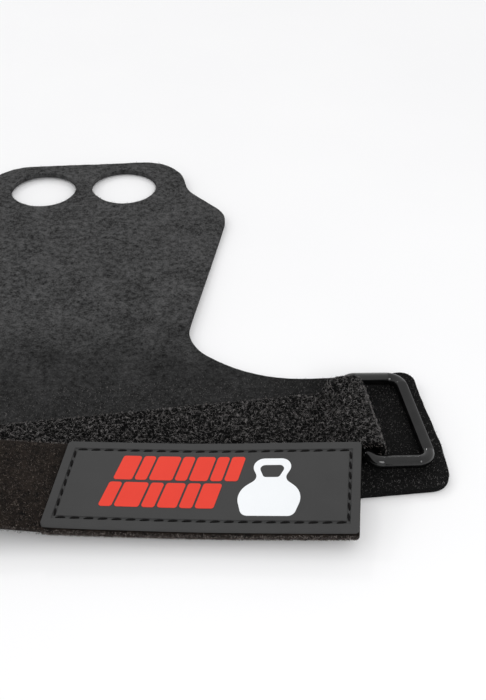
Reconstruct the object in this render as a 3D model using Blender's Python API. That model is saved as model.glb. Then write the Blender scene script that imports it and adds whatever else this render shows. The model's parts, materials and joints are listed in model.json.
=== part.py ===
"""Hand grip for gymnastics: a suede palm flap with two finger holes and a wrist strap with a ring.

Frame: origin at the middle of the wrist band's underside, +X along the band towards the ring,
+Y towards the fingers, +Z up out of the suede. Metres.
"""
import math

import bmesh
import bpy
from mathutils import Matrix, Vector

# ---- driving sizes (metres) ----
gap = 0.0003                    # air between pieces that touch

skin_thickness = 0.0016         # suede
flap_length = 0.1505            # band's middle line to the tip of the finger tab
hole_diameter = 0.0225
hole_bridge = 0.0053            # suede left between the two finger holes
hole_side_margin = 0.00815      # hole to the tab's side
hole_tip_margin = 0.00525       # hole to the tab's tip
notch_step = 0.0026             # notch past the tab's side
notch_below_tip = 0.0220
shoulder_step = 0.0147          # shoulder past the tab's side
shoulder_below_tip = 0.0387
neck_half_width = 0.0292
neck_y = 0.0420                 # the suede folds across here
flare_x = 0.0490                # where the neck's curve meets the band's far edge
flare_rise = 0.0014
band_half_length = 0.0939
band_far_edge = 0.0224
band_near_edge = -0.0246
band_near_rise = 0.0023         # how far the near edge slants in towards each end
band_end_slope = 0.0020         # how much further out the band's end bulges than its far corner
tab_radius = 0.0160
notch_radius = 0.0140
shoulder_radius = 0.0110
neck_radius = 0.0160
flare_radius = 0.0400
far_corner_radius = 0.0045
end_radius = 0.0300
near_corner_radius = 0.0055

strap_width = 0.0275
strap_thickness = 0.0015
strap_offset = -0.0024          # strap's middle line, where it crosses the palm's middle line
strap_turn_degrees = 3.0        # strap's direction in plan
fold_inset = 0.0049             # band's end to where the strap turns back over itself
fold_inner_radius = 0.0023

ring_wire = 0.0034
ring_inset = 0.0216             # band's end to the bar that the strap holds
ring_reach = 0.0162             # bar centre to bar centre, away from the strap
ring_side_clearance = 0.00135   # webbing's edge to the wire beside it
ring_corner = 0.0036
ring_shift = -0.0004            # the ring has slid along its held bar
loop_start = 0.0070             # bar to where the strap starts to climb
loop_lead = 0.0008              # level webbing before the climb
loop_rise = 0.0045              # run over which it climbs
loop_slack = 0.0015             # how far the loop goes on past the bar
loop_return = 0.0045            # bar to the strap's end, turned back under

tail_inset = 0.0288             # how much shorter the tail is than the band
tail_clearance = 0.0002         # strap's near edge to the label's far edge, at the tail's tip
tail_lifts = (0.0034, 0.0016, 0.0005, 0.0001, 0.0, 0.0006, 0.0011)  # above a tail lying on the strap
tail_rolls = (1.6, 4.8, 5.6, 6.4, 7.2, 9.0, 9.8)                    # degrees, at the same places
hook_thickness = 0.0006
label_length = 0.0750
label_side_margin = 0.00035     # label's edge to the webbing's edge
label_thickness = 0.0011
label_end_margin = 0.0002       # tail's tip past the label
label_left_skew = 0.138         # slant of the label's two ends
label_right_skew = 0.063

thread = 0.0004
label_stitch_inset = 0.0022
box_start = 0.0240              # fold to the stitched box that holds the strap to the band
box_length = 0.0220
box_side_margin = 0.00375       # box to the webbing's edge
tack_setback = 0.0020           # bar tack to where the strap starts to climb
tack_length = 0.0018
tack_side_margin = 0.0030

# ---- what follows from them ----
hole_spacing = hole_diameter + hole_bridge
tab_half_width = hole_spacing / 2 + hole_diameter / 2 + hole_side_margin
hole_y = flap_length - hole_tip_margin - hole_diameter / 2
fold_x = fold_inset - band_half_length
ring_x = band_half_length - ring_inset
ring_span = strap_width + 2 * ring_side_clearance + ring_wire
label_width = strap_width - 2 * label_side_margin
tail_length = 2 * band_half_length - tail_inset

strap_middle = skin_thickness + gap + strap_thickness / 2
strap_top = skin_thickness + gap + strap_thickness
lap_step = strap_thickness + gap
bar_height = strap_top + gap + ring_wire / 2
bar_wrap = ring_wire / 2 + gap + strap_thickness / 2     # strap's middle round the bar's centre
fold_height = strap_top + fold_inner_radius
fold_middle_radius = fold_inner_radius + strap_thickness / 2

# the tail leaves the fold at such an angle that its label lies beside the strap
tail_aside = (strap_width + label_width) / 2 + tail_clearance
strap_angle = math.radians(strap_turn_degrees)
tail_angle = strap_angle - math.asin(tail_aside / tail_length)
crease_angle = (strap_angle + tail_angle) / 2
half_opening = (strap_angle - tail_angle) / 2
fold_point = Vector((fold_x, strap_offset + fold_x * math.tan(strap_angle), 0.0))
fold_skew = math.tan(half_opening)

strap_frame = Matrix.Translation(fold_point) @ Matrix.Rotation(strap_angle, 4, "Z")
tail_frame = Matrix.Translation(fold_point) @ Matrix.Rotation(tail_angle, 4, "Z")
crease_frame = Matrix.Translation(fold_point) @ Matrix.Rotation(crease_angle, 4, "Z")

bar_along = (ring_x - fold_x) / math.cos(strap_angle)    # fold to bar, along the strap
ring_tilt = math.asin(lap_step / ring_reach)             # the free bar rests on the suede
label_start = tail_length - label_end_margin - label_length


def remove_everything():
    for item in list(bpy.data.objects):
        bpy.data.objects.remove(item, do_unlink=True)


def material(name, colour, roughness, metallic=0.0):
    made = bpy.data.materials.new(name)
    made.use_nodes = True
    shader = made.node_tree.nodes["Principled BSDF"]
    shader.inputs["Base Color"].default_value = (*colour, 1.0)
    shader.inputs["Roughness"].default_value = roughness
    shader.inputs["Metallic"].default_value = metallic
    return made


def add_object(name, shape, finish, pivot=Vector()):
    """Turns a bmesh given in the part's frame into an object whose origin is its pivot."""
    bmesh.ops.recalc_face_normals(shape, faces=shape.faces)
    shape.transform(Matrix.Translation(-pivot))
    mesh = bpy.data.meshes.new(name)
    shape.to_mesh(mesh)
    shape.free()
    made = bpy.data.objects.new(name, mesh)
    made.location = pivot
    bpy.context.collection.objects.link(made)
    if finish:
        mesh.materials.append(finish)
    return made


# ---- suede ----
def rounded_path(corners, step_degrees=9.0):
    """Points along a line whose inner corners (x, y, radius) are rounded with arcs."""
    points = [Vector(corners[0][:2])]
    for before, corner, after in zip(corners, corners[1:], corners[2:]):
        here = Vector(corner[:2])
        into = (here - Vector(before[:2])).normalized()
        out = (Vector(after[:2]) - here).normalized()
        turn = math.atan2(into.cross(out), into.dot(out))
        reach = corner[2] * math.tan(abs(turn) / 2)
        start = here - into * reach
        side = math.copysign(1.0, turn)
        centre = start + Vector((-into.y, into.x)) * side * corner[2]
        steps = max(2, math.ceil(abs(math.degrees(turn)) / step_degrees))
        for step in range(steps + 1):
            spoke = start - centre
            spoke.rotate(Matrix.Rotation(turn * step / steps, 2))
            points.append(centre + spoke)
    points.append(Vector(corners[-1][:2]))
    return points


def skin_outline():
    """The whole suede outline: its right half rounded, then mirrored."""
    far_corner = band_half_length - band_end_slope
    right = rounded_path([
        (0.0, flap_length, 0.0),
        (tab_half_width, flap_length, tab_radius),
        (tab_half_width + notch_step, flap_length - notch_below_tip, notch_radius),
        (tab_half_width + shoulder_step, flap_length - shoulder_below_tip, shoulder_radius),
        (neck_half_width, neck_y, neck_radius),
        (flare_x, band_far_edge + flare_rise, flare_radius),
        (far_corner, band_far_edge, far_corner_radius),
        (band_half_length, -band_far_edge / 3, end_radius),
        (band_half_length - band_end_slope / 4, band_near_edge + band_near_rise, near_corner_radius),
        (0.0, band_near_edge, 0.0),
    ])
    left = [Vector((-point.x, point.y)) for point in reversed(right[1:-1])]
    return right + left


def skin_side(keep_far):
    """The suede on one side of the crease, with its cut edge half a gap from the crease."""
    shape = bmesh.new()
    ring = [shape.verts.new((point.x, point.y, 0.0)) for point in skin_outline()]
    base = shape.faces.new(ring)
    raised = bmesh.ops.extrude_face_region(shape, geom=[base])["geom"]
    top = [item for item in raised if isinstance(item, bmesh.types.BMVert)]
    bmesh.ops.translate(shape, verts=top, vec=(0.0, 0.0, skin_thickness))
    side = 1.0 if keep_far else -1.0
    cut = bmesh.ops.bisect_plane(
        shape, geom=shape.verts[:] + shape.edges[:] + shape.faces[:],
        plane_co=(0.0, neck_y + side * gap / 2, 0.0), plane_no=(0.0, -side, 0.0), clear_outer=True)
    rim = [item for item in cut["geom_cut"] if isinstance(item, bmesh.types.BMEdge)]
    bmesh.ops.holes_fill(shape, edges=rim)
    return shape


def finger_hole_cutter(name, side):
    shape = bmesh.new()
    bmesh.ops.create_cone(shape, cap_ends=True, segments=48, radius1=hole_diameter / 2,
                          radius2=hole_diameter / 2, depth=4 * skin_thickness)
    place = Vector((side * hole_spacing / 2, hole_y, skin_thickness / 2))
    shape.transform(Matrix.Translation(place))
    cutter = add_object(name, shape, None)
    cutter.hide_render = True
    cutter.display_type = "WIRE"
    return cutter


def build_skin(suede):
    hinge = Vector((0.0, neck_y, skin_thickness))
    flap = add_object("palm_flap", skin_side(True), suede, hinge)
    for name, side in (("left_hole_cutter", -1), ("right_hole_cutter", 1)):
        hole = flap.modifiers.new(name, "BOOLEAN")
        hole.operation = "DIFFERENCE"
        hole.solver = "EXACT"
        hole.object = finger_hole_cutter(name, side)
    add_object("wrist_band", skin_side(False), suede)


# ---- strap ----
def smooth(amount):
    return amount * amount * (3 - 2 * amount)


def route_strip(route, half_width, thickness, frame, start_skew=0.0):
    """A strip of webbing whose middle follows a route of (along, up) points."""
    shape = bmesh.new()
    rings = []
    for index, here in enumerate(route):
        before = route[max(index - 1, 0)]
        after = route[min(index + 1, len(route) - 1)]
        run = (after - before).normalized()
        normal = Vector((-run.y, run.x)) * thickness / 2
        skew = start_skew if index == 0 else 0.0
        corners = []
        for across, side in ((-1, -1), (1, -1), (1, 1), (-1, 1)):
            spot = here + normal * side
            along = spot.x + across * half_width * skew
            corners.append(shape.verts.new((along, across * half_width, spot.y)))
        rings.append(corners)
    for low, high in zip(rings, rings[1:]):
        for corner in range(4):
            other = (corner + 1) % 4
            shape.faces.new((low[corner], low[other], high[other], high[corner]))
    shape.faces.new(rings[0])
    shape.faces.new(list(reversed(rings[-1])))
    shape.transform(frame)
    return shape


def ramp(start, run, low, rise, steps=8):
    """Points that climb smoothly by rise over a run."""
    return [Vector((start + run * step / steps, low + rise * smooth(step / steps)))
            for step in range(steps + 1)]


def wrist_strap_route(steps=14):
    first, last = gap / 2, bar_along - loop_start - loop_lead - gap
    return [Vector((first + (last - first) * step / steps, strap_middle)) for step in range(steps + 1)]


def ring_loop_route(steps=12):
    rise = bar_height + bar_wrap - strap_middle
    route = [Vector((bar_along - loop_start - loop_lead, strap_middle))]
    route += ramp(bar_along - loop_start, loop_rise, strap_middle, rise)
    for step in range(steps + 1):
        angle = math.pi / 2 - math.pi * step / steps
        spoke = Vector((math.cos(angle), math.sin(angle))) * bar_wrap
        route.append(Vector((bar_along + loop_slack, bar_height)) + spoke)
    route.append(Vector((bar_along - loop_return, strap_middle)))
    return route


def strap_turn_route(steps=12):
    """Half a turn round the fold, from the strap's top layer to its bottom layer."""
    route = []
    for step in range(steps + 1):
        angle = math.pi / 2 + math.pi * step / steps
        spoke = Vector((math.cos(angle), math.sin(angle))) * fold_middle_radius
        route.append(Vector((-gap / 2, fold_height)) + spoke)
    return route


# ---- tail ----
def tail_stations():
    """(distance from the fold, height of the webbing's underside, roll in degrees)."""
    on_strap = strap_top + gap + hook_thickness + gap
    places = (0.40 * label_start, 0.83 * label_start, label_start, label_start + 0.25 * label_length,
              label_start + 0.50 * label_length, label_start + 0.80 * label_length, tail_length)
    rest = [(place, on_strap + lift, roll) for place, lift, roll in zip(places, tail_lifts, tail_rolls)]
    return [(0.0, strap_top + 2 * fold_inner_radius, 0.0)] + rest


def along_stations(distance):
    """Height and roll there, on a smooth curve through the stations."""
    stations = tail_stations()
    index = 0
    while index < len(stations) - 2 and stations[index + 1][0] < distance:
        index += 1
    low, high = stations[index], stations[index + 1]
    before = stations[max(index - 1, 0)]
    after = stations[min(index + 2, len(stations) - 1)]
    span = high[0] - low[0]
    part = (distance - low[0]) / span
    values = []
    for column in (1, 2):
        start_slope = (high[column] - before[column]) / (high[0] - before[0]) if index else 0.0
        end_slope = (after[column] - low[column]) / (after[0] - low[0])
        values.append(
            (2 * part**3 - 3 * part**2 + 1) * low[column]
            + (part**3 - 2 * part**2 + part) * span * start_slope
            + (3 * part**2 - 2 * part**3) * high[column]
            + (part**3 - part**2) * span * end_slope)
    return values


def tail_point(distance, across, up):
    """A point on the tail: across its width, and up from the webbing's underside."""
    height, roll = along_stations(distance)
    roll = math.radians(roll)
    sideways = across * math.cos(roll) - up * math.sin(roll)
    upwards = height + across * math.sin(roll) + up * math.cos(roll)
    return Vector((distance, sideways, upwards))


def tail_layer(start, end, half_width, low, high, start_skew, end_skew, steps):
    """A flat layer that follows the tail between two distances and two heights."""
    shape = bmesh.new()
    rings = []
    for step in range(steps + 1):
        part = step / steps
        distance = start + (end - start) * part
        skew = start_skew + (end_skew - start_skew) * part
        corners = []
        for across, up in ((-half_width, low), (half_width, low), (half_width, high), (-half_width, high)):
            corners.append(shape.verts.new(tail_point(distance + across * skew, across, up)))
        rings.append(corners)
    for first, second in zip(rings, rings[1:]):
        for corner in range(4):
            other = (corner + 1) % 4
            shape.faces.new((first[corner], first[other], second[other], second[corner]))
    shape.faces.new(rings[0])
    shape.faces.new(list(reversed(rings[-1])))
    shape.transform(tail_frame)
    return shape


def thread_loop(place, length, width, steps):
    """A closed square thread round a rectangle; place(along, across, up) puts it on its surface."""
    def rectangle(inset):
        near, far = -width / 2 + inset, width / 2 - inset
        low, high = inset, length - inset
        run = [low + (high - low) * step / steps for step in range(steps + 1)]
        return [(along, near) for along in run] + [(along, far) for along in reversed(run)]
    shape = bmesh.new()
    rows = []
    for inset, up in ((0.0, 0.0), (0.0, thread), (thread, thread), (thread, 0.0)):
        rows.append([shape.verts.new(place(along, across, up)) for along, across in rectangle(inset)])
    for low, high in zip(rows, rows[1:] + rows[:1]):
        for index in range(len(low)):
            other = (index + 1) % len(low)
            shape.faces.new((low[index], low[other], high[other], high[index]))
    return shape


def build_strap(fleece, thread_finish):
    half_width = strap_width / 2
    wrist = route_strip(wrist_strap_route(), half_width, strap_thickness, strap_frame, fold_skew)
    add_object("wrist_strap", wrist, fleece)
    loop = route_strip(ring_loop_route(), half_width, strap_thickness, strap_frame)
    add_object("strap_ring_loop", loop, fleece)
    turn_half_width = half_width / math.cos(half_opening)
    turn = route_strip(strap_turn_route(), turn_half_width, strap_thickness, crease_frame)
    add_object("strap_turn", turn, fleece)

    def on_strap(along, across, up):
        return Vector((box_start + along, across, strap_top + gap + up))

    box = thread_loop(on_strap, box_length, strap_width - 2 * box_side_margin, 4)
    box.transform(strap_frame)
    add_object("band_box_stitch", box, thread_finish)

    tack = bmesh.new()
    bmesh.ops.create_cube(tack, size=1.0)
    tack.transform(Matrix.Diagonal((tack_length, strap_width - 2 * tack_side_margin, thread, 1.0)))
    tack_along = bar_along - loop_start - tack_setback
    tack_up = strap_top + gap + thread / 2
    tack.transform(Matrix.Translation((tack_along, 0.0, tack_up)))
    tack.transform(strap_frame)
    add_object("loop_bar_tack", tack, thread_finish)


def build_tail(fleece, hook, rubber, thread_finish):
    hinge = fold_point + Vector((0.0, 0.0, fold_height))
    half_width = strap_width / 2
    label_half = label_width / 2
    webbing = tail_layer(gap / 2, tail_length, half_width, 0.0, strap_thickness, -fold_skew,
                         label_right_skew, 40)
    add_object("strap_tail", webbing, fleece, hinge)
    label_end = label_start + label_length
    patch = tail_layer(label_start, label_end, label_half, -gap - hook_thickness, -gap,
                       label_left_skew, label_right_skew, 20)
    add_object("hook_patch", patch, hook, hinge)
    label_low = strap_thickness + gap
    label_high = label_low + label_thickness
    label = tail_layer(label_start, label_end, label_half, label_low, label_high,
                       label_left_skew, label_right_skew, 20)
    add_object("rubber_label", label, rubber, hinge)

    stitch_length = label_length - 2 * label_stitch_inset

    def on_label(along, across, up):
        part = (along + label_stitch_inset) / label_length
        skew = label_left_skew + (label_right_skew - label_left_skew) * part
        distance = label_start + label_stitch_inset + along + across * skew
        return tail_point(distance, across, label_high + gap + up)

    stitch = thread_loop(on_label, stitch_length, label_width - 2 * label_stitch_inset, 20)
    stitch.transform(tail_frame)
    add_object("label_thread", stitch, thread_finish, hinge)


# ---- ring ----
def build_ring(coated):
    """A rectangular wire ring: a round-cornered closed path with a round section."""
    half_span = ring_span / 2
    inset = ring_corner
    corners = [(ring_reach - inset, half_span - inset, 0), (inset, half_span - inset, 90),
               (inset, inset - half_span, 180), (ring_reach - inset, inset - half_span, 270)]
    path = []
    for x, y, first in corners:
        for step in range(7):
            angle = math.radians(first + 15 * step)
            path.append((x + ring_corner * math.cos(angle), y + ring_corner * math.sin(angle)))
    curve = bpy.data.curves.new("ring", "CURVE")
    curve.dimensions = "3D"
    curve.bevel_depth = ring_wire / 2
    curve.bevel_resolution = 3
    spline = curve.splines.new("POLY")
    spline.points.add(len(path) - 1)
    for point, (x, y) in zip(spline.points, path):
        point.co = (x, y, 0.0, 1.0)
    spline.use_cyclic_u = True
    spline.use_smooth = True
    curve.materials.append(coated)
    ring = bpy.data.objects.new("ring", curve)
    hinge = strap_frame @ Vector((bar_along, ring_shift, bar_height))
    ring.matrix_world = (Matrix.Translation(hinge) @ Matrix.Rotation(strap_angle, 4, "Z")
                         @ Matrix.Rotation(ring_tilt, 4, "Y"))
    bpy.context.collection.objects.link(ring)


def main():
    remove_everything()
    suede = material("black_suede", (0.045, 0.045, 0.047), 0.95)
    fleece = material("black_fleece", (0.014, 0.014, 0.015), 1.0)
    hook = material("black_hook_tape", (0.022, 0.019, 0.017), 0.8)
    rubber = material("grey_rubber", (0.060, 0.061, 0.062), 0.6)
    thread_finish = material("black_thread", (0.010, 0.010, 0.011), 0.7)
    coated = material("black_coated_wire", (0.020, 0.020, 0.022), 0.25)
    build_skin(suede)
    build_strap(fleece, thread_finish)
    build_tail(fleece, hook, rubber, thread_finish)
    build_ring(coated)


main()
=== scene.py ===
import json
import math
import random

import bmesh
import bpy
from mathutils import Matrix, Vector, noise


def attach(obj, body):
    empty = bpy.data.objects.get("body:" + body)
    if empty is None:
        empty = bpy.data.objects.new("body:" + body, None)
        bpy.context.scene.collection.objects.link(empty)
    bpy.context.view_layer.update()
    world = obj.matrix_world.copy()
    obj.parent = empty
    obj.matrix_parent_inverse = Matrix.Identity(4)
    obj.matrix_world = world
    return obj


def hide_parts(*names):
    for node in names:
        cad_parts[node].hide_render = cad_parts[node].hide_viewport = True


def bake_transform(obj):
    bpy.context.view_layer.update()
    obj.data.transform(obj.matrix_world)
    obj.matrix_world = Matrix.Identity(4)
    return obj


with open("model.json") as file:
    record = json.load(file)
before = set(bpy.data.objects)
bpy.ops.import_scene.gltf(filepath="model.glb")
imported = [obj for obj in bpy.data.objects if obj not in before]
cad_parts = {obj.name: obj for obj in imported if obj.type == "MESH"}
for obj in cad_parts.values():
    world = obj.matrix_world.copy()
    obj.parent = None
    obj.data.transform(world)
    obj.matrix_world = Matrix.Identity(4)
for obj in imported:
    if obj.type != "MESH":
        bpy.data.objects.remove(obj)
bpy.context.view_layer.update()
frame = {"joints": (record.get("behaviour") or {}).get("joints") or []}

mm = 0.001
joints = {joint["name"]: joint for joint in frame["joints"]}

print("stage: camera and light")

# the eye is low, close to the label's side of the band
cameraSpot = {"place": (0.0194, -0.23305, 0.2152), "tilt": 51.91, "turn": -5.63, "lens": 61.71}
camera = bpy.data.objects.new("camera", bpy.data.cameras.new("camera"))
camera.data.lens = cameraSpot["lens"]
camera.data.clip_start = 0.01
camera.location = cameraSpot["place"]
camera.rotation_euler = (math.radians(cameraSpot["tilt"]), 0, math.radians(cameraSpot["turn"]))
bpy.context.collection.objects.link(camera)
bpy.context.scene.camera = camera


def areaLight(name, place, aim, size, power):
    lamp = bpy.data.lights.new(name, "AREA")
    lamp.shape = "DISK"
    lamp.size = size
    lamp.energy = power
    holder = bpy.data.objects.new(name, lamp)
    holder.location = place
    holder.rotation_euler = (Vector(aim) - Vector(place)).to_track_quat("-Z", "Y").to_euler()
    bpy.context.collection.objects.link(holder)


areaLight("softboxLeft", (-0.80, 0.45, 0.75), (0, 0.02, 0), 0.14, 0.7)
areaLight("softboxBack", (-0.10, 1.00, 0.70), (0, 0.05, 0), 0.12, 1.0)
areaLight("softboxFront", (0.20, -0.75, 0.60), (0, 0.02, 0), 0.55, 3.4)
bpy.context.scene.view_settings.view_transform = "Standard"
bpy.context.scene.view_settings.look = "None"


class Wire:
    # a shader socket that takes part in sums
    def __init__(self, tree, socket):
        self.tree = tree
        self.socket = socket

    def node(self, kind, settings, values):
        made = self.tree.nodes.new(kind)
        for key, value in settings.items():
            if key == "stops":
                ramp = made.color_ramp.elements
                while len(ramp) < len(value):
                    ramp.new(0.5)
                for stop, (position, shade) in zip(ramp, value):
                    stop.position = position
                    stop.color = (shade, shade, shade, 1)
            else:
                setattr(made, key, value)
        for key, value in values.items():
            if isinstance(value, Wire):
                self.tree.links.new(value.socket, made.inputs[key])
            elif value is not None:
                made.inputs[key].default_value = value
        return made

    def value(self, kind, settings, values, output=0):
        return Wire(self.tree, self.node(kind, settings, values).outputs[output])

    def sum(self, operation, first, second):
        return self.value("ShaderNodeMath", {"operation": operation}, {0: first, 1: second})

    def clamp(self):
        return self.value("ShaderNodeClamp", {}, {0: self})

    def __add__(self, other):
        return self.sum("ADD", self, other)

    def __radd__(self, other):
        return self.sum("ADD", other, self)

    def __sub__(self, other):
        return self.sum("SUBTRACT", self, other)

    def __rsub__(self, other):
        return self.sum("SUBTRACT", other, self)

    def __mul__(self, other):
        return self.sum("MULTIPLY", self, other)

    def __rmul__(self, other):
        return self.sum("MULTIPLY", other, self)

    def __abs__(self):
        return self.value("ShaderNodeMath", {"operation": "ABSOLUTE"}, {0: self})


def newFinish(name, roughness, constants):
    # a finish with its shader and the object's own coordinates
    finish = bpy.data.materials.new(name)
    finish.use_nodes = True
    tree = finish.node_tree
    shader = tree.nodes["Principled BSDF"]
    shader.inputs["Roughness"].default_value = roughness
    for key, value in constants.items():
        shader.inputs[key].default_value = value
    spot = Wire(tree, None).node("ShaderNodeTexCoord", {}, {})
    return finish, shader, Wire(tree, spot.outputs["Object"])


def cloud(spot, grain, detail=3.0):
    # soft noise whose lumps are about grain metres across
    return spot.value("ShaderNodeTexNoise", {}, {"Vector": spot, "Scale": 1 / grain, "Detail": detail})


def blendColour(spot, share, low, high):
    # 6 and 7 are the mix node's two colours, and 2 is the colour it gives
    return spot.value("ShaderNodeMix", {"data_type": "RGBA"}, {0: share, 6: low, 7: high}, 2)


def feed(shader, spot, colour=None, roughness=None, height=None, depth=0.0002, strength=0.6):
    for key, wire in (("Base Color", colour), ("Roughness", roughness)):
        if wire is not None:
            spot.tree.links.new(wire.socket, shader.inputs[key])
    if height is not None:
        bump = spot.value("ShaderNodeBump", {}, {"Strength": strength, "Distance": depth, "Height": height})
        spot.tree.links.new(bump.socket, shader.inputs["Normal"])


def suedeFinish(name, dark, light, paintedSheen=None):
    # the last argument places painted sheen and shade: the far middle of the palm is painted paler where the nap
    # is seen at a grazing angle, and the band's ends and the side near the strap are painted darker, as (full at
    # x, least at x, least at y, full at y)
    finish, shader, spot = newFinish(name, 0.8, {"Sheen Weight": 0.03, "Specular IOR Level": 0.06})
    patches = cloud(spot, 9 * mm, 4.0)
    pebbles = cloud(spot, 1.6 * mm, 4.0)
    grain = cloud(spot, 0.5 * mm, 2.0)
    share = ((patches - 0.5) * 0.7 + (pebbles - 0.5) * 1.6 + (grain - 0.5) * 1.5 + 0.5).clamp()
    # painted sheen and shade: the colour's share falls towards the band's ends and towards the side near the strap
    if paintedSheen:
        axes = spot.node("ShaderNodeSeparateXYZ", {}, {0: spot})
        sideways = abs(Wire(spot.tree, axes.outputs["X"]))
        across = spot.value("ShaderNodeMapRange", {"interpolation_type": "SMOOTHSTEP"},
                            {0: sideways + (patches - 0.5) * 0.03, 1: paintedSheen[0], 2: paintedSheen[1], 3: 1.0, 4: 0.10})
        upwards = spot.value("ShaderNodeMapRange", {"interpolation_type": "SMOOTHSTEP"},
                             {0: Wire(spot.tree, axes.outputs["Y"]) + (patches - 0.5) * 0.03,
                              1: paintedSheen[2], 2: paintedSheen[3], 3: 0.38, 4: 1.0})
        share = share * across * upwards
    height = pebbles * 0.7 + grain * 0.4
    feed(shader, spot, blendColour(spot, share, dark, light), None, height, 0.35 * mm, 0.8)
    return finish


def pileFinish(name, dark, light):
    finish, shader, spot = newFinish(name, 0.9, {"Specular IOR Level": 0.05})
    tufts = cloud(spot, 0.7 * mm, 4.0)
    share = ((tufts - 0.5) * 3.0 + 0.4).clamp()
    feed(shader, spot, blendColour(spot, share, dark, light), None, tufts, 0.5 * mm, 1.0)
    return finish


def fibreFinish(name, dark, light, roughness=0.45):
    finish, shader, spot = newFinish(name, roughness, {"Specular IOR Level": 0.2})
    tone = cloud(spot, 0.9 * mm, 2.0)
    share = ((tone - 0.5) * 3.2 + 0.35).clamp()
    feed(shader, spot, blendColour(spot, share, dark, light))
    return finish


def rubberFinish(name, dark, light, roughness):
    finish, shader, spot = newFinish(name, roughness, {"Specular IOR Level": 0.25})
    haze = cloud(spot, 14 * mm, 3.0)
    speckle = cloud(spot, 0.25 * mm, 2.0)
    share = ((haze - 0.5) * 1.4 + (speckle - 0.5) * 0.5 + 0.5).clamp()
    sheen = haze * 0.16 + roughness - 0.08
    feed(shader, spot, blendColour(spot, share, dark, light), sheen, speckle, 0.05 * mm, 0.35)
    return finish


def wireFinish():
    finish, shader, spot = newFinish("blackCoating", 0.15, {"Specular IOR Level": 0.5})
    orangePeel = cloud(spot, 1.6 * mm, 2.0)
    wear = cloud(spot, 5 * mm, 5.0)
    share = ((wear - 0.5) * 2.4 + 0.3).clamp()
    colour = blendColour(spot, share, (0.001, 0.001, 0.001, 1), (0.006, 0.006, 0.006, 1))
    feed(shader, spot, colour, wear * 0.14 + 0.06, orangePeel, 0.04 * mm, 0.3)
    return finish


def threadFinish():
    finish, shader, spot = newFinish("blackThread", 0.6, {"Specular IOR Level": 0.1})
    ply = spot.value("ShaderNodeTexWave", {}, {"Vector": spot, "Scale": 1 / (1.4 * mm), "Distortion": 2.0})
    colour = blendColour(spot, ply, (0.001, 0.001, 0.001, 1), (0.006, 0.005, 0.005, 1))
    feed(shader, spot, colour, None, ply, 0.1 * mm, 0.6)
    return finish


def whiteRoom(brightness, dim, darkSide):
    # white all round, but for the darker side of the room where the maker stands
    world = bpy.data.worlds.new("studio")
    world.use_nodes = True
    tree = world.node_tree
    direction = Wire(tree, tree.nodes.new("ShaderNodeTexCoord").outputs["Generated"])
    facing = direction.value("ShaderNodeVectorMath", {"operation": "DOT_PRODUCT"},
                             {0: direction, 1: Vector(darkSide).normalized()}, 1)
    share = direction.value("ShaderNodeMapRange", {"interpolation_type": "SMOOTHSTEP"},
                            {0: facing, 1: 0.80, 2: 0.98, 3: brightness, 4: dim})
    tree.nodes["Background"].inputs["Color"].default_value = (1, 1, 1, 1)
    tree.links.new(share.socket, tree.nodes["Background"].inputs["Strength"])
    bpy.context.scene.world = world


whiteRoom(0.86, 0.50, (0.1, -0.75, 0.65))
# the last four numbers place the suede's painted sheen and shade
suede = suedeFinish("blackSuede", (0.002, 0.002, 0.002, 1), (0.085, 0.085, 0.086, 1),
                    (40 * mm, 78 * mm, 20 * mm, 75 * mm))
strapBack = suedeFinish("brushedStrapBack", (0.001, 0.0008, 0.0007, 1), (0.020, 0.015, 0.012, 1))
fleeceBed = pileFinish("fleeceBed", (0.0005, 0.0005, 0.0005, 1), (0.004, 0.004, 0.004, 1))
fleeceFibre = fibreFinish("fleeceFibre", (0.004, 0.004, 0.004, 1), (0.30, 0.285, 0.28, 1))
suedeFibre = fibreFinish("suedeFibre", (0.010, 0.010, 0.010, 1), (0.16, 0.157, 0.155, 1), 0.8)
bandFibre = fibreFinish("bandFibre", (0.008, 0.008, 0.008, 1), (0.24, 0.23, 0.225, 1), 0.8)
backFibre = fibreFinish("strapBackFibre", (0.008, 0.006, 0.005, 1), (0.30, 0.25, 0.22, 1), 0.8)
selvageFibre = fibreFinish("selvageFibre", (0.030, 0.026, 0.024, 1), (0.34, 0.30, 0.28, 1), 0.8)
hookFinish = pileFinish("hookTape", (0.010, 0.008, 0.007, 1), (0.060, 0.050, 0.044, 1))
rubber = rubberFinish("labelRubber", (0.036, 0.036, 0.036, 1), (0.050, 0.050, 0.050, 1), 0.7)
redRubber = rubberFinish("redRubber", (0.68, 0.038, 0.020, 1), (0.76, 0.052, 0.030, 1), 0.6)
whiteRubber = rubberFinish("whiteRubber", (0.80, 0.82, 0.84, 1), (0.86, 0.88, 0.90, 1), 0.6)
coating = wireFinish()
thread = threadFinish()


# shapes are first made flat, as (along, across, up), and then bent to where they lie
def finishPiece(name, shape, finish, body, nodes=(), smooth=True):
    mesh = bpy.data.meshes.new(name)
    shape.to_mesh(mesh)
    shape.free()
    mesh.materials.append(finish)
    if smooth:
        mesh.shade_smooth()
    piece = bpy.data.objects.new(name, mesh)
    bpy.context.collection.objects.link(piece)
    if body:
        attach(piece, body)
    if nodes:
        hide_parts(*nodes)
    return piece


def bend(shape, place):
    for vert in shape.verts:
        vert.co = place(*vert.co)


def only(made, kind, key="geom"):
    # one kind of element out of what an operator made
    return [item for item in made[key] if isinstance(item, kind)]


def rectangle(low, high, near, far):
    return [(low, near), (high, near), (high, far), (low, far)]


def flatFace(corners, height=0.0):
    # a shape that starts as one flat face
    shape = bmesh.new()
    shape.faces.new([shape.verts.new((x, y, height)) for x, y in corners])
    return shape


def sliceUp(shape, axis, low, high, count):
    # cuts a shape into even strips across one axis
    normal = Vector((0, 0, 0))
    normal[axis] = 1
    for step in range(1, count):
        point = normal * (low + (high - low) * step / count)
        geometry = shape.verts[:] + shape.edges[:] + shape.faces[:]
        bmesh.ops.bisect_plane(shape, geom=geometry, plane_co=point, plane_no=normal)


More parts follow.
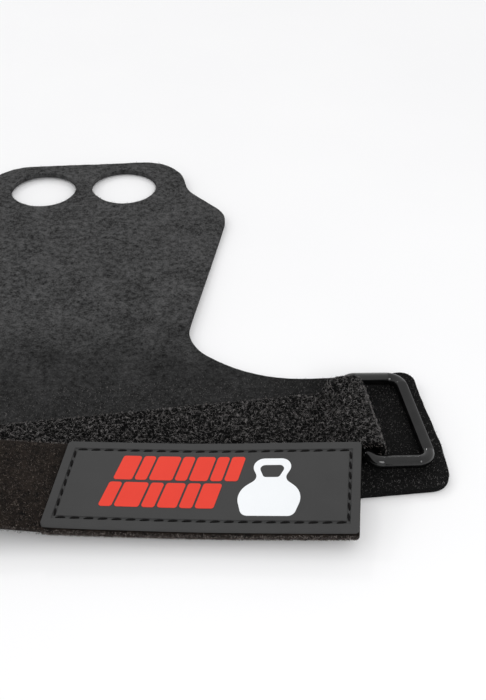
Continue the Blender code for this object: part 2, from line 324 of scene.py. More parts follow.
def thicken(shape, depth, rim, segments, sharpAngle=1.0):
    # gives a flat region a thickness downwards and rounds its rim
    lower = bmesh.ops.extrude_face_region(shape, geom=shape.faces[:], use_keep_orig=True)
    bmesh.ops.translate(shape, verts=only(lower, bmesh.types.BMVert), vec=(0, 0, -depth))
    bmesh.ops.recalc_face_normals(shape, faces=shape.faces)
    edges = [e for e in shape.edges if len(e.link_faces) == 2 and e.calc_face_angle() > sharpAngle]
    bmesh.ops.bevel(shape, geom=edges, offset=rim, affect="EDGES", segments=segments,
                    profile=0.5, material=-1, clamp_overlap=True)


def roundedPath(corners, stepDegrees=5.0):
    # points along corners (x, y, radius) whose inner corners are rounded
    points = [Vector(corners[0][:2])]
    for before, corner, after in zip(corners, corners[1:], corners[2:]):
        here = Vector(corner[:2])
        into = (here - Vector(before[:2])).normalized()
        out = (Vector(after[:2]) - here).normalized()
        turn = math.atan2(into.cross(out), into.dot(out))
        reach = corner[2] * math.tan(abs(turn) / 2)
        start = here - into * reach
        centre = start + Vector((-into.y, into.x)) * math.copysign(corner[2], turn)
        steps = max(2, math.ceil(abs(math.degrees(turn)) / stepDegrees))
        for step in range(steps + 1):
            spoke = start - centre
            spoke.rotate(Matrix.Rotation(turn * step / steps, 2))
            points.append(centre + spoke)
    points.append(Vector(corners[-1][:2]))
    return points


def fillOutlines(shape, outlines):
    # a flat region between closed outlines; the first is the outer one
    edges = []
    for outline in outlines:
        ring = [shape.verts.new((point[0], point[1], 0)) for point in outline]
        edges += [shape.edges.new((a, b)) for a, b in zip(ring, ring[1:] + ring[:1])]
    bmesh.ops.triangle_fill(shape, use_beauty=True, use_dissolve=False, edges=edges)
    bmesh.ops.recalc_face_normals(shape, faces=shape.faces)
    if shape.faces[:] and sum(face.normal.z for face in shape.faces) < 0:
        bmesh.ops.reverse_faces(shape, faces=shape.faces)


def ramp(value, start, run):
    # 0 up to the start, then rising to 1 over the run
    return min(1.0, max(0.0, (value - start) / run))


def wiggle(point, size, amount, seed=0.0):
    # smooth noise between -amount and amount, with lumps of that size
    return noise.noise(Vector(point) / size + Vector((seed, seed * 0.7, 1.3))) * amount


print("stage: suede")

# corners are (x, y, radius), and the ramps are (start, run)
skin = {
    "thickness": 1.6 * mm,
    "length": 150.5 * mm,
    "tabHalf": 33.3 * mm,
    "tabCorner": 16 * mm,
    "notch": (35.9 * mm, 128.5 * mm, 14 * mm),
    "shoulder": (48.0 * mm, 111.8 * mm, 11 * mm),
    "neck": (29.2 * mm, 42.0 * mm, 16 * mm),
    "flare": (49.0 * mm, 23.8 * mm, 40 * mm),
    "bandHalf": 93.9 * mm,
    "bandFar": 22.4 * mm,
    "bandFarIn": 2 * mm,
    "bandFarCorner": 4.5 * mm,
    "bandEndBow": 30 * mm,
    "bandNear": -24.6 * mm,
    "bandNearIn": 0.5 * mm,
    "bandNearRise": 2.3 * mm,
    "bandNearCorner": 5.5 * mm,
    "edgeStep": 1.2 * mm,
    "edgeWander": 0.0016,
    "holeSize": 22.5 * mm,
    "holeSpacing": 27.8 * mm,
    "holeFromTip": 16.5 * mm,
    "holeSteps": 64,
    "holeWander": 0.12 * mm,
    "rim": 0.45 * mm,
    "cell": 2.4 * mm,
    "wave": 0.9 * mm,
    "waveLump": 34 * mm,
    "waveAlong": (26 * mm, 30 * mm),
    "cornerLift": 1.6 * mm,
    "cornerAcross": (77 * mm, 15 * mm),
    "cornerAlong": (9 * mm, 14 * mm),
    "curlEnd": 16 * mm,
}


def skinOutline():
    half = skin["bandHalf"]
    right = roundedPath([
        (0, skin["length"], 0),
        (skin["tabHalf"], skin["length"], skin["tabCorner"]),
        skin["notch"],
        skin["shoulder"],
        skin["neck"],
        skin["flare"],
        (half - skin["bandFarIn"], skin["bandFar"], skin["bandFarCorner"]),
        (half, -skin["bandFar"] / 3, skin["bandEndBow"]),
        (half - skin["bandNearIn"], skin["bandNear"] + skin["bandNearRise"], skin["bandNearCorner"]),
        (0, skin["bandNear"], 0),
    ])
    outline = right + [Vector((-point.x, point.y)) for point in reversed(right[1:-1])]
    dense = []
    for here, there in zip(outline, outline[1:] + outline[:1]):
        steps = max(1, round((there - here).length / skin["edgeStep"]))
        dense += [here.lerp(there, step / steps) for step in range(steps)]
    # a hand-cut edge is never quite smooth
    return [point * (1 + wiggle((point.x, point.y, 0), 3 * mm, skin["edgeWander"])) for point in dense]


def holeOutline(side):
    centre = Vector((side * skin["holeSpacing"] / 2, skin["length"] - skin["holeFromTip"]))
    ring = []
    for step in range(skin["holeSteps"]):
        angle = math.tau * step / skin["holeSteps"]
        spoke = Vector((math.cos(angle), math.sin(angle)))
        ring.append(centre + spoke * (skin["holeSize"] / 2 + wiggle((*spoke, side), 0.4, skin["holeWander"])))
    return ring


def skinLift(x, y):
    # the palm lies a little wavy, the band flat under the strap, and its far corners turn up
    cornerShare = ramp(abs(x), *skin["cornerAcross"]) * ramp(y, *skin["cornerAlong"])
    ripple = wiggle((x, y, 0), skin["waveLump"], skin["wave"]) + skin["wave"] * 0.45
    return max(0.0, ripple) * ramp(y, *skin["waveAlong"]) + skin["cornerLift"] * cornerShare ** 1.5


def skinPlace(x, y, up):
    return Vector((x, y, skin["thickness"] + up + skinLift(x, y)))


def foldWithPalm(piece):
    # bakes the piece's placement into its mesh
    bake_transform(piece)


def flatArea(points):
    return abs(sum(a.x * b.y - b.x * a.y for a, b in zip(points, points[1:] + points[:1]))) / 2


def buildSkin():
    shape = bmesh.new()
    outline = skinOutline()
    holes = [holeOutline(-1), holeOutline(1)]
    fillOutlines(shape, [outline] + holes)
    width, height = 2 * skin["bandHalf"], skin["length"] - skin["bandNear"]
    sliceUp(shape, 0, -skin["bandHalf"], skin["bandHalf"], round(width / skin["cell"]))
    sliceUp(shape, 1, skin["bandNear"], skin["length"], round(height / skin["cell"]))
    cells = [[vert.co.to_2d() for vert in face.verts] for face in shape.faces]
    thicken(shape, skin["thickness"], skin["rim"], 2)
    bend(shape, skinPlace)
    piece = finishPiece("suedePalm", shape, suede, None, ["palm_flap", "wrist_band"])
    foldWithPalm(piece)
    flatArea(outline) - sum(map(flatArea, holes))
    return outline, holes, cells


outline, holes, cells = buildSkin()


print("stage: fibres")


# hairs per metre of edge and per square metre of suede, and the part of the band that the strap covers
fibres = {
    "edge": 6000,
    "band": 2.6e6,
    "palm": 0.9e6,
    "coverMiddle": -2.4 * mm,
    "coverSlope": 0.0524,
    "coverHalf": 10 * mm,
    "coverEnd": 60 * mm,
}


def curl(points, thickness):
    # a short three-sided fibre through a few points, as a mesh to copy
    shape = bmesh.new()
    places = []
    for index, point in enumerate(points):
        ahead = points[min(index + 1, len(points) - 1)] - points[max(index - 1, 0)]
        turn = ahead.to_track_quat("Z", "Y").to_matrix().to_4x4()
        thinning = Matrix.Scale(1 - 0.45 * index / (len(points) - 1), 4)
        places.append(Matrix.Translation(point) @ turn @ thinning)
    bmesh.ops.create_circle(shape, cap_ends=True, segments=3, radius=thickness / 2, matrix=places[0])
    tip = shape.faces[:]
    for here, there in zip(places, places[1:]):
        made = bmesh.ops.extrude_face_region(shape, geom=tip, use_keep_orig=here is places[0])
        tip = only(made, bmesh.types.BMFace)
        bmesh.ops.transform(shape, matrix=there @ here.inverted(), verts=only(made, bmesh.types.BMVert))
    bmesh.ops.recalc_face_normals(shape, faces=shape.faces)
    mesh = bpy.data.meshes.new("curl")
    shape.to_mesh(mesh)
    shape.free()
    return mesh


def loopCurls():
    # terry loops: arches of a few widths
    curls = []
    for reach, height, sway in ((0.50, 0.40, 0.20), (0.36, 0.50, -0.16), (0.66, 0.32, 0.26), (0.44, 0.62, 0.1)):
        points = []
        for step in range(5):
            angle = math.pi * step / 4
            sideways = sway * math.sin(2 * angle)
            points.append(Vector((-math.cos(angle) * reach, sideways, math.sin(angle) * height)) * mm)
        curls.append(curl(points, 0.085 * mm))
    return curls


def napCurls():
    # short hairs that lean over
    curls = []
    for lean, height in ((0.30, 0.40), (0.46, 0.26), (-0.18, 0.50)):
        points = [Vector((0, 0, -0.08)) * mm, Vector((lean * 0.3, 0.03, height * 0.55)) * mm,
                  Vector((lean, -0.04, height)) * mm]
        curls.append(curl(points, 0.08 * mm))
    return curls


def scatter(name, curls, spots, finish, body):
    # copies of the curls at the spots, each a matrix
    shape = bmesh.new()
    for index, spot in enumerate(spots):
        copy = curls[index % len(curls)]
        copy.transform(spot)
        shape.from_mesh(copy)
        copy.transform(spot.inverted())
    return finishPiece(name, shape, finish, body, (), smooth=False)


def spotOn(place, along, across, up, chance, lean=0.35, size=(0.6, 1.2)):
    # a matrix that stands a curl on a bent surface, turned and leaned at random
    step = 0.2 * mm
    here = place(along, across, up)
    forward = (place(along + step, across, up) - here).normalized()
    side = (place(along, across + step, up) - here).normalized()
    normal = forward.cross(side).normalized()
    stand = Matrix((forward, normal.cross(forward), normal)).transposed().to_4x4()
    turn = Matrix.Rotation(chance.uniform(0, math.tau), 4, "Z")
    tip = Matrix.Rotation(chance.gauss(0, lean), 4, "X")
    grow = Matrix.Scale(chance.uniform(*size), 4)
    return Matrix.Translation(here) @ stand @ turn @ tip @ grow


def edgeSpots(outlines, place, drop, perMetre, chance):
    # spots along the cut edge, standing outwards
    spots = []
    for outlineHere in outlines:
        for here, there in zip(outlineHere, outlineHere[1:] + outlineHere[:1]):
            run = there - here
            for index in range(max(1, round(run.length * perMetre))):
                flat = here.lerp(there, chance.random())
                out = Vector((run.y, -run.x, 0)).normalized()
                out.z = chance.uniform(-0.2, 0.8)
                stand = out.to_track_quat("Z", "Y").to_matrix().to_4x4()
                turn = Matrix.Rotation(chance.uniform(0, math.tau), 4, "Z")
                base = place(flat.x, flat.y, -drop * chance.random() ** 1.5)
                grow = Matrix.Scale(chance.uniform(0.5, 1.1), 4)
                spots.append(Matrix.Translation(base) @ stand @ turn @ grow)
    return spots


def cellSpots(cellsHere, place, perMetre2, chance):
    # spots spread evenly over flat cells
    spots = []
    for corners in cellsHere:
        for second, third in zip(corners[1:], corners[2:]):
            one, two = second - corners[0], third - corners[0]
            for index in range(int(abs(one.cross(two)) / 2 * perMetre2 + chance.random())):
                a, b = sorted((chance.random(), chance.random()))
                flat = corners[0] + one * (b - a) + two * a
                spots.append(spotOn(place, flat.x, flat.y, -0.05 * mm, chance, 0.5))
    return spots


def underStrap(spot):
    beside = abs(spot.y - fibres["coverMiddle"] - spot.x * fibres["coverSlope"])
    return spot.x <= fibres["coverEnd"] and beside <= fibres["coverHalf"]


def skinFibres():
    chance = random.Random(11)
    nap = napCurls()
    spots = edgeSpots([outline], skinPlace, skin["thickness"], fibres["edge"], chance)
    spots += edgeSpots([ring[::-1] for ring in holes], skinPlace, skin["thickness"], fibres["edge"], chance)
    foldWithPalm(scatter("suedeEdgeNap", nap, spots, suedeFibre, None))
    palmStart = skin["flare"][1]
    band = [cell for cell in cells if cell[0].y < palmStart and not underStrap(cell[0])]
    palm = [cell for cell in cells if cell[0].y >= palmStart]
    # cells that start on the middle line belong to the right
    for name, side in (("bandNapLeft", -1), ("bandNapRight", 1)):
        here = [cell for cell in band if side * (cell[0].x + 0.1 * mm) > 0]
        spots = cellSpots(here, skinPlace, fibres["band"], chance)
        foldWithPalm(scatter(name, nap, spots, bandFibre, None))
    spots = cellSpots(palm, skinPlace, fibres["palm"], chance)
    foldWithPalm(scatter("palmNap", nap, spots, suedeFibre, None))


skinFibres()


print("stage: strap")

strap = {
    "width": 27.5 * mm,
    "thickness": 1.5 * mm,
    "gap": 0.3 * mm,
    "wire": 3.4 * mm,
    "loopStart": 7 * mm,
    "rise": 4.5 * mm,
    "slack": 1.5 * mm,
    "return": 4.5 * mm,
    "cell": 1.5 * mm,
    "swell": 0.18 * mm,
    "swellLump": 16 * mm,
    "loopsPerMm2": 4.8,
    "pilePieces": 4,
    "pileSink": 0.08 * mm,
    "bareAtFold": 1.6 * mm,
    "selvagePerMetre": 9000,
    "bareAtEnds": 1.6 * mm,
}
foldPoint = Vector(joints["strap_open"]["pos_m"])
barPoint = Vector(joints["ring_swing"]["pos_m"])
barRun = (barPoint - foldPoint).to_2d()
strapAngle = math.atan2(barRun.y, barRun.x)
creaseAxis = -Vector(joints["strap_open"]["axis"])
creaseAngle = math.atan2(-creaseAxis.x, creaseAxis.y)
tailAngle = 2 * creaseAngle - strapAngle
groundFold = Vector((foldPoint.x, foldPoint.y, 0))
strapFrame = Matrix.Translation(groundFold) @ Matrix.Rotation(strapAngle, 4, "Z")
tailFrame = Matrix.Translation(groundFold) @ Matrix.Rotation(tailAngle, 4, "Z")
creaseFrame = Matrix.Translation(groundFold) @ Matrix.Rotation(creaseAngle, 4, "Z")
foldSkew = math.tan((strapAngle - tailAngle) / 2)

strapTop = skin["thickness"] + strap["gap"] + strap["thickness"]
strapMiddle = strapTop - strap["thickness"] / 2
# how far the ring's free bar drops below its held one
lapStep = strap["thickness"] + strap["gap"]
barWrap = strap["wire"] / 2 + strap["gap"] + strap["thickness"] / 2
foldRadius = foldPoint.z - strapMiddle


def smoothStep(amount):
    return amount * amount * (3 - 2 * amount)


class Route:
    # a smooth line in an (along, up) plane, read by the distance along it
    def __init__(self, points):
        self.points = points
        self.distances = [0.0]
        for here, there in zip(points, points[1:]):
            self.distances.append(self.distances[-1] + (there - here).length)
        self.length = self.distances[-1]

    def at(self, distance):
        distance = min(max(distance, 0.0), self.length - 1e-9)
        low, high = 0, len(self.points) - 2
        while low < high:
            middle = (low + high + 1) // 2
            if self.distances[middle] <= distance:
                low = middle
            else:
                high = middle - 1
        share = (distance - self.distances[low]) / (self.distances[low + 1] - self.distances[low])
        return self.points[low].lerp(self.points[low + 1], share)

    def offset(self, distance, up):
        # the point that far along, and up from the line
        reach = 0.35 * mm
        before = self.at(distance - reach)
        after = self.at(distance + reach)
        run = (after - before).normalized()
        return self.at(distance) + Vector((-run.y, run.x)) * up


def wristRoute():
    # flat along the band, up over the ring's bar and back under itself
    barAlong = barRun.length
    riseStart = barAlong - strap["loopStart"]
    lift = barPoint.z + barWrap - strapMiddle
    points = [Vector((step / 60 * riseStart, strapMiddle)) for step in range(60)]
    for step in range(25):
        points.append(Vector((riseStart + strap["rise"] * step / 24, strapMiddle + lift * smoothStep(step / 24))))
    for step in range(25):
        angle = math.pi / 2 - math.pi * step / 24
        spoke = Vector((math.cos(angle), math.sin(angle))) * barWrap
        points.append(Vector((barAlong + strap["slack"], barPoint.z)) + spoke)
    points.append(Vector((barAlong - strap["return"], strapMiddle)))
    return Route(points)


wristPath = wristRoute()


def wristPlace(along, across, up):
    # up is measured from the webbing's middle
    spot = wristPath.offset(along, up)
    onBand = along < barRun.length - strap["loopStart"]
    swell = wiggle((along, across, 0), strap["swellLump"], strap["swell"], 3.0) if onBand else 0.0
    return strapFrame @ Vector((spot.x, across, spot.y + max(0.0, swell)))


def webbing(length, width, thickness, cell, startSkew=0.0, endSkew=0.0):
    # a flat band with a softly rounded rim, its middle at height 0
    half = width / 2
    shape = flatFace([(-half * startSkew, -half), (length - half * endSkew, -half),
                      (length + half * endSkew, half), (half * startSkew, half)], thickness / 2)
    sliceUp(shape, 0, 0, length, round(length / cell))
    sliceUp(shape, 1, -half, half, max(6, round(width / (1.6 * cell))))
    thicken(shape, thickness, 0.45 * mm, 3)
    return shape


def strapSpots(place, length, perMm2, up, chance, start=0.0, rim=0.2 * mm, lean=0.8):
    half = strap["width"] / 2 - rim
    count = round((length - start) * 2 * half * 1e6 * perMm2)
    spots = []
    for index in range(count):
        spots.append(spotOn(place, chance.uniform(start, length), chance.uniform(-half, half), up, chance, lean))
    return spots


def sideSpots(place, length, halfThickness, perMetre, chance, middle=0.0):
    # hairs that stand out of both edges of the webbing
    spots = []
    for index in range(round(length * perMetre)):
        along = chance.uniform(strap["bareAtEnds"], length - strap["bareAtEnds"])
        side = chance.choice((-1, 1))
        up = middle + chance.uniform(-1, 1) * halfThickness
        here = place(along, side * strap["width"] / 2, up)
        out = (here - place(along, side * (strap["width"] / 2 - 0.2 * mm), up)).normalized()
        out += Vector((chance.gauss(0, 0.5), chance.gauss(0, 0.5), chance.gauss(0.3, 0.5)))
        stand = out.to_track_quat("Z", "Y").to_matrix().to_4x4()
        turn = Matrix.Rotation(chance.uniform(0, math.tau), 4, "Z")
        spots.append(Matrix.Translation(here) @ stand @ turn @ Matrix.Scale(chance.uniform(0.6, 1.2), 4))
    return spots


def buildWristStrap():
    chance = random.Random(21)
    shape = webbing(wristPath.length, strap["width"], strap["thickness"], strap["cell"], foldSkew)
    bend(shape, wristPlace)
    finishPiece("wristStrap", shape, fleeceBed, "wrist", ["wrist_strap", "strap_ring_loop"])
    loops = loopCurls()
    shownLength = wristPath.length - strap["return"]
    surface = strap["thickness"] / 2 - strap["pileSink"]
    run = shownLength / strap["pilePieces"]
    for index in range(strap["pilePieces"]):
        start = max(index * run, strap["bareAtFold"])
        spots = strapSpots(wristPlace, (index + 1) * run, strap["loopsPerMm2"], surface, chance, start)
        scatter(f"wristPile{index}", loops, spots, fleeceFibre, "wrist")
    selvage = sideSpots(wristPlace, shownLength, strap["thickness"] / 2, strap["selvagePerMetre"], chance)
    scatter("wristSelvage", napCurls(), selvage, selvageFibre, "wrist")


buildWristStrap()


def turnRoute():
    points = []
    for step in range(33):
        angle = math.pi / 2 + math.pi * step / 32
        points.append(Vector((0, foldPoint.z)) + Vector((math.cos(angle), math.sin(angle))) * foldRadius)
    return Route(points)


turnPath = turnRoute()


def turnPlace(along, across, up):
    # here up points into the turn, towards the pile side
    spot = turnPath.offset(along, up)
    return creaseFrame @ Vector((spot.x, across, spot.y))


def buildTurn():
    shape = webbing(turnPath.length, strap["width"] / math.cos((strapAngle - tailAngle) / 2),
                    strap["thickness"], 0.8 * mm)
    bend(shape, turnPlace)
    piece = finishPiece("strapTurn", shape, strapBack, None, ["strap_turn"])
    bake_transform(piece)


buildTurn()


print("stage: tail")

tail = {
    "length": 159 * mm,
    "bareAtFold": 5.5 * mm,
    "sideHairsPerMetre": 24000,
    "topHairs": 11000,
    "underLoops": 5000,
    "hook": 0.6 * mm,
    "labelStart": 83.8 * mm,
    "labelLength": 75 * mm,
    "labelWidth": 26.8 * mm,
    "labelThickness": 1.1 * mm,
    "leftSkew": 0.138,
    "rightSkew": 0.063,
}


def tailStations():
    # distance from the fold, height of the webbing's underside, roll in degrees
    start, length = tail["labelStart"], tail["labelLength"]
    rest = strapTop + strap["gap"] + tail["hook"] + strap["gap"]
    return [
        (0, 2 * foldPoint.z - strapTop, 0),
        (0.40 * start, rest + 3.4 * mm, 1.6),
        (0.83 * start, rest + 1.6 * mm, 4.8),
        (start, rest + 0.5 * mm, 5.6),
        (start + 0.25 * length, rest + 0.1 * mm, 6.4),
        (start + 0.50 * length, rest, 7.2),
        (start + 0.80 * length, rest + 0.6 * mm, 9.0),
        (tail["length"], rest + 1.1 * mm, 9.8),
    ]


stations = tailStations()


def alongStations(distance):
    index = 0
    while index < len(stations) - 2 and stations[index + 1][0] < distance:
        index += 1
    low, high = stations[index], stations[index + 1]
    before = stations[max(index - 1, 0)]
    after = stations[min(index + 2, len(stations) - 1)]
    span = high[0] - low[0]
    part = (distance - low[0]) / span
    values = []
    for column in (1, 2):
        startSlope = (high[column] - before[column]) / (high[0] - before[0]) if index else 0
        endSlope = (after[column] - low[column]) / (after[0] - low[0])
        values.append((2 * part**3 - 3 * part**2 + 1) * low[column]
                      + (part**3 - 2 * part**2 + part) * span * startSlope
                      + (3 * part**2 - 2 * part**3) * high[column]
                      + (part**3 - part**2) * span * endSlope)
    return values


def tailPlace(along, across, up):
    # up is measured from the webbing's underside
    height, roll = alongStations(along)
    roll = math.radians(roll)
    sideways = across * math.cos(roll) - up * math.sin(roll)
    upwards = height + across * math.sin(roll) + up * math.cos(roll)
    return tailFrame @ Vector((along, sideways, upwards))


def buildTail():
    chance = random.Random(31)
    half, middle = strap["width"] / 2, strap["thickness"] / 2
    shape = webbing(tail["length"], strap["width"], strap["thickness"], strap["cell"], -foldSkew,
                    tail["rightSkew"])
    bend(shape, lambda along, across, up: tailPlace(along, across, up + middle))
    finishPiece("strapTail", shape, strapBack, "tail", ["strap_tail"])
    nap = napCurls()
    spots = sideSpots(tailPlace, tail["length"], middle, tail["sideHairsPerMetre"], chance, middle)
    scatter("tailSideNap", nap, spots, selvageFibre, "tail")
    surface = strap["thickness"] - 0.05 * mm
    spots = []
    for index in range(tail["topHairs"]):
        along = chance.uniform(tail["bareAtFold"], tail["labelStart"])
        across = chance.uniform(-half, half)
        spots.append(spotOn(tailPlace, along, across, surface, chance, 0.6, (0.5, 0.9)))
    scatter("tailTopNap", nap, spots, backFibre, "tail")
    # from the label on, the hook tape covers the pile side
    spots = []
    for index in range(tail["underLoops"]):
        along = chance.uniform(0, tail["labelStart"])
        spot = spotOn(tailPlace, along, chance.uniform(-half, half), 0.05 * mm, chance, 0.3)
        spots.append(spot @ Matrix.Rotation(math.pi, 4, "X"))
    scatter("tailPile", loopCurls(), spots, fleeceFibre, "tail")


buildTail()


print("stage: label")

label = {
    "border": 2.1 * mm,
    "groove": 0.95 * mm,
    "grooveDepth": 0.28 * mm,
    "grooveWall": 0.12 * mm,
    "panelSlope": 0.5 * mm,
    "panelRise": 0.12 * mm,
    "cornerRadius": 0.9 * mm,
    "stitchPitch": 3.3 * mm,
    "stitchLength": 2.5 * mm,
    "stitchWidth": 0.56 * mm,
    "threadRise": 0.16 * mm,
    "printRise": 0.10 * mm,
    "printDepth": 0.2 * mm,
    "printCorner": 0.7 * mm,
    "cells": (75, 12),
}
labelTop = strap["thickness"] + strap["gap"] + tail["labelThickness"]


def labelPlace(along, across, up):
    # a point on the label's own rectangle, up from its top face
    part = along / tail["labelLength"]
    skew = tail["leftSkew"] + (tail["rightSkew"] - tail["leftSkew"]) * part
    return tailPlace(tail["labelStart"] + along + across * skew, across, labelTop + up)


def labelArc(corner, inset):
    # the middle and radius of one rounded corner, so far in from the label's rim
    half, radius = tail["labelWidth"] / 2, max(label["cornerRadius"] - inset, 0.05 * mm)
    inward = inset + radius
    x = tail["labelLength"] - inward if corner.x > tail["labelLength"] / 2 else inward
    return Vector((x, math.copysign(half - inward, corner.y))), radius


def buildLabel():
    # the rubber's section, as (in from the rim, up): side, border, groove, raised panel
    half, length, base = tail["labelWidth"] / 2, tail["labelLength"], -tail["labelThickness"]
    border, groove, deep, wall = label["border"], label["groove"], label["grooveDepth"], label["grooveWall"]
    section = [(0, base), (0, -0.18 * mm), (0.05 * mm, -0.05 * mm), (0.18 * mm, 0), (border, 0),
               (border + wall, -deep), (border + groove - wall, -deep), (border + groove, 0),
               (border + groove + label["panelSlope"], label["panelRise"])]
    shape = flatFace(rectangle(0, length, -half, half), base)
    bmesh.ops.bevel(shape, geom=shape.verts[:], offset=label["cornerRadius"], affect="VERTICES", segments=4,
                    profile=0.5, material=-1)
    rim = shape.edges[:]
    for (before, _), (inset, up) in zip(section, section[1:]):
        made = bmesh.ops.extrude_edge_only(shape, edges=rim)
        rim = [edge for edge in only(made, bmesh.types.BMEdge) if edge.is_boundary]
        for vert in only(made, bmesh.types.BMVert):
            middle, radius = labelArc(vert.co, before)
            away = (vert.co.to_2d() - middle).normalized()
            middle, radius = labelArc(vert.co, inset)
            vert.co = (*(middle + away * radius), up)
    bmesh.ops.holes_fill(shape, edges=rim, sides=0)
    sliceUp(shape, 0, 0, length, label["cells"][0])
    sliceUp(shape, 1, -half, half, label["cells"][1])
    bmesh.ops.recalc_face_normals(shape, faces=shape.faces)
    bend(shape, labelPlace)
    piece = finishPiece("rubberLabel", shape, rubber, "tail", ["rubber_label"])
    piece.data.set_sharp_from_angle(angle=math.radians(40))


def rectangleSpots(low, high, near, far, pitch):
    # middles and headings of the stitches round a rectangle
    spots = []
    corners = rectangle(low, high, near, far)
    for (x0, y0), (x1, y1) in zip(corners, corners[1:] + corners[:1]):
        run = math.hypot(x1 - x0, y1 - y0)
        count = max(1, round(run / pitch))
        for index in range(count):
            share = (index + 0.5) / count
            spots.append((x0 + (x1 - x0) * share, y0 + (y1 - y0) * share, math.atan2(y1 - y0, x1 - x0)))
    return spots


def stitchRow(name, spots, place, sink, body, nodes, size):
    # each stitch is a plump grain of thread, lying a little askew
    chance = random.Random(41)
    length, width = size
    shape = bmesh.new()
    for x, y, heading in spots:
        grain = bmesh.ops.create_uvsphere(shape, u_segments=8, v_segments=6, radius=1)["verts"]
        for vert in grain:
            flat = Vector((vert.co.z * length / 2, vert.co.x * width / 2, vert.co.y * width * 0.42))
            flat.z -= (flat.x / length * 2) ** 2 * width * 0.35
            flat.rotate(Matrix.Rotation(heading + 0.10 + chance.gauss(0, 0.03), 3, "Z"))
            vert.co = place(x + flat.x, y + flat.y, flat.z - sink)
    bmesh.ops.recalc_face_normals(shape, faces=shape.faces)
    finishPiece(name, shape, thread, body, nodes)


def flatPrint(name, outlines, finish):
    # raised moulded print on the label's panel
    shape = bmesh.new()
    fillOutlines(shape, outlines)
    xs = [point[0] for point in outlines[0]]
    sliceUp(shape, 0, min(xs), max(xs), max(2, round((max(xs) - min(xs)) / (1.5 * mm))))
    for vert in shape.verts:
        vert.co.z = label["panelRise"] + label["printRise"]
    thicken(shape, label["printDepth"], 0.05 * mm, 1)
    bend(shape, labelPlace)
    finishPiece(name, shape, finish, "tail", (), smooth=False)


def barOutline(left, right, low, high, slant):
    middle, corner = (left + right) / 2, label["printCorner"]
    return roundedPath([(middle, low, 0), (right, low, corner), (right + slant, high, corner),
                        (left + slant, high, corner), (left, low, corner), (middle, low, 0)], 20)[:-1]


# a kettlebell for the emblem; its corners are (x, y, radius) in millimetres from the middle of its foot
emblem = {
    "foot": (53.0 * mm, -9.2 * mm),
    "body": [(0, 0, 0), (6.2, 0, 2.0), (8.4, 7.0, 5.2), (3.2, 11.2, 2.0), (6.2, 17.4, 2.6), (-6.2, 17.4, 2.6),
             (-3.2, 11.2, 2.0), (-8.4, 7.0, 5.2), (-6.2, 0, 2.0), (0, 0, 0)],
    "grip": [(0, 11.6, 0), (1.9, 11.6, 0.9), (3.6, 15.4, 1.2), (-3.6, 15.4, 1.2), (-1.9, 11.6, 0.9), (0, 11.6, 0)],
}


def emblemOutline(corners, stepDegrees):
    x0, y0 = emblem["foot"]
    return roundedPath([(x0 + x * mm, y0 + y * mm, radius * mm) for x, y, radius in corners], stepDegrees)[:-1]


def buildPrint():
    # two rows of slanting bars
    half = tail["labelWidth"] / 2
    rows = [
        {"low": half - 12.2 * mm, "high": half - 4.6 * mm, "start": 14.0 * mm,
         "widths": (4.7, 3.0, 5.8, 3.0, 4.6, 3.0, 3.4)},
        {"low": half - 20.6 * mm, "high": half - 13.0 * mm, "start": 12.2 * mm,
         "widths": (3.2, 6.0, 3.2, 4.8, 3.2, 4.6)},
    ]
    for number, row in enumerate(rows):
        left = row["start"]
        for index, width in enumerate(row["widths"]):
            right = left + width * mm
            outlineHere = barOutline(left, right, row["low"], row["high"], 1.3 * mm)
            flatPrint(f"redBar{number}{index}", [outlineHere], redRubber)
            left = right + 0.55 * mm
    outlines = [emblemOutline(emblem["body"], 8), emblemOutline(emblem["grip"], 12)]
    flatPrint("whiteKettlebell", outlines, whiteRubber)


def labelStitches():
    inset, half = label["border"] + label["groove"] / 2, tail["labelWidth"] / 2
    spots = rectangleSpots(inset, tail["labelLength"] - inset, inset - half, half - inset, label["stitchPitch"])
    stitchRow("labelStitches", spots, labelPlace, label["grooveDepth"] - label["threadRise"], "tail",
              ["label_thread"], (label["stitchLength"], label["stitchWidth"]))


buildLabel()
labelStitches()
buildPrint()

hook = {"count": 5200, "bareRim": 0.3 * mm, "nearEdgeShare": 0.3, "nearEdgeIn": 0.2 * mm, "cells": (50, 10)}


def hookPlace(along, across, up):
    # up from the top of the hook tape, which lies under the tail
    return labelPlace(along, across, up - labelTop - strap["gap"])


def buildHook():
    chance = random.Random(51)
    half, length = tail["labelWidth"] / 2, tail["labelLength"]
    shape = flatFace(rectangle(0, length, -half, half))
    sliceUp(shape, 0, 0, length, hook["cells"][0])
    sliceUp(shape, 1, -half, half, hook["cells"][1])
    thicken(shape, tail["hook"], 0.15 * mm, 1)
    bend(shape, hookPlace)
    finishPiece("hookPatch", shape, hookFinish, "tail", ["hook_patch"])
    spots = []
    for index in range(hook["count"]):
        along = chance.uniform(hook["bareRim"], length - hook["bareRim"])
        atEdge = chance.random() < hook["nearEdgeShare"]
        across = hook["nearEdgeIn"] - half if atEdge else chance.uniform(-half, half)
        spot = spotOn(hookPlace, along, across, -tail["hook"], chance, 0.3, (0.4, 0.7))
        spots.append(spot @ Matrix.Rotation(math.pi, 4, "X"))
    scatter("hooks", loopCurls(), spots, backFibre, "tail")


buildHook()


print("stage: ring")

ring = {
    "reach": 16.2 * mm,
    "span": 33.6 * mm,
    "corner": 3.6 * mm,
    "seam": 0.12 * mm,
    "shift": -0.4 * mm,
}


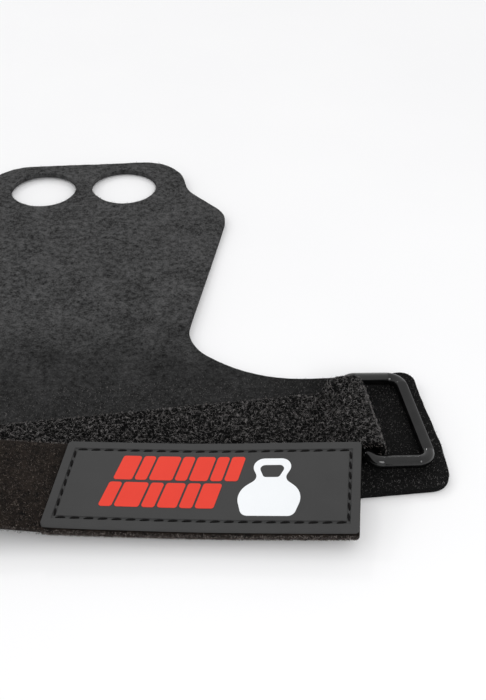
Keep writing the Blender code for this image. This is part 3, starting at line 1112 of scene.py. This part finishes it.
def buildRing():
    # a bent wire whose two ends meet halfway along the held bar, inside the strap's loop
    shape = bmesh.new()
    half, reach, turn = ring["span"] / 2, ring["reach"], ring["corner"]
    facing = Matrix.Translation((0, -ring["seam"] / 2, 0)) @ Matrix.Rotation(math.pi / 2, 4, "X")
    bmesh.ops.create_circle(shape, cap_ends=True, segments=24, radius=strap["wire"] / 2, matrix=facing)
    legs = [
        (Vector((0, turn - half + ring["seam"] / 2, 0)), (turn, turn - half)),
        (Vector((reach - 2 * turn, 0, 0)), (reach - turn, turn - half)),
        (Vector((0, 2 * (half - turn), 0)), (reach - turn, half - turn)),
        (Vector((2 * turn - reach, 0, 0)), (turn, half - turn)),
        (Vector((0, turn - half + ring["seam"] / 2, 0)), None),
    ]
    ends = shape.faces[:]
    for index, (move, centre) in enumerate(legs):
        made = bmesh.ops.extrude_face_region(shape, geom=ends, use_keep_orig=index == 0)
        ends = only(made, bmesh.types.BMFace)
        bmesh.ops.translate(shape, verts=only(made, bmesh.types.BMVert), vec=move)
        if centre:
            made = bmesh.ops.spin(shape, geom=ends, cent=(*centre, 0), axis=(0, 0, 1), angle=math.pi / 2,
                                  steps=10, use_duplicate=False)
            ends = only(made, bmesh.types.BMFace, "geom_last")
    bmesh.ops.recalc_face_normals(shape, faces=shape.faces)
    return shape


def placeRing():
    shape = buildRing()
    tilt = Matrix.Rotation(math.asin(lapStep / ring["reach"]), 4, "Y")
    barMiddle = barPoint + Matrix.Rotation(strapAngle, 3, "Z") @ Vector((0, ring["shift"], 0))
    shape.transform(Matrix.Translation(barMiddle) @ Matrix.Rotation(strapAngle, 4, "Z") @ tilt)
    finishPiece("wireRing", shape, coating, "wire_ring", ["ring"])


placeRing()


print("stage: sewing on the band")

boxStitch = {
    "start": 24 * mm,
    "length": 22 * mm,
    "width": 20 * mm,
    "pitch": 2.6 * mm,
    "grain": (2.1 * mm, 0.4 * mm),
}
barTack = {
    "beforeLoop": 2 * mm,
    "inset": 6 * mm,
    "count": 20,
    "lean": math.pi / 2.3,
    "grain": (1.5 * mm, 0.35 * mm),
}


def sewBand():
    onPile = -(strap["thickness"] / 2 + 0.02 * mm)
    half = boxStitch["width"] / 2
    spots = rectangleSpots(boxStitch["start"], boxStitch["start"] + boxStitch["length"], -half, half,
                           boxStitch["pitch"])
    stitchRow("boxStitches", spots, wristPlace, onPile, "wrist", ["band_box_stitch"], boxStitch["grain"])
    along = barRun.length - strap["loopStart"] - barTack["beforeLoop"]
    width = strap["width"] - barTack["inset"]
    spots = [(along, -width / 2 + width * (index + 0.5) / barTack["count"], barTack["lean"])
             for index in range(barTack["count"])]
    stitchRow("barTack", spots, wristPlace, onPile, "wrist", ["loop_bar_tack"], barTack["grain"])


sewBand()


print("stage: floor")

floorFinish, floorShader, floorSpot = newFinish("paperSweep", 0.9, {"Specular IOR Level": 0.1})
floorGrain = cloud(floorSpot, 60 * mm, 2.0)
feed(floorShader, floorSpot, blendColour(floorSpot, floorGrain, (0.90, 0.90, 0.91, 1), (0.93, 0.93, 0.935, 1)))
floorSize = {"half": 6.0, "drop": 0.0003}
floorShape = bmesh.new()
bmesh.ops.create_grid(floorShape, x_segments=2, y_segments=2, size=floorSize["half"])
bmesh.ops.translate(floorShape, verts=floorShape.verts, vec=(0, 0, -floorSize["drop"]))
floor = finishPiece("floor", floorShape, floorFinish, None)

print("stage: done")
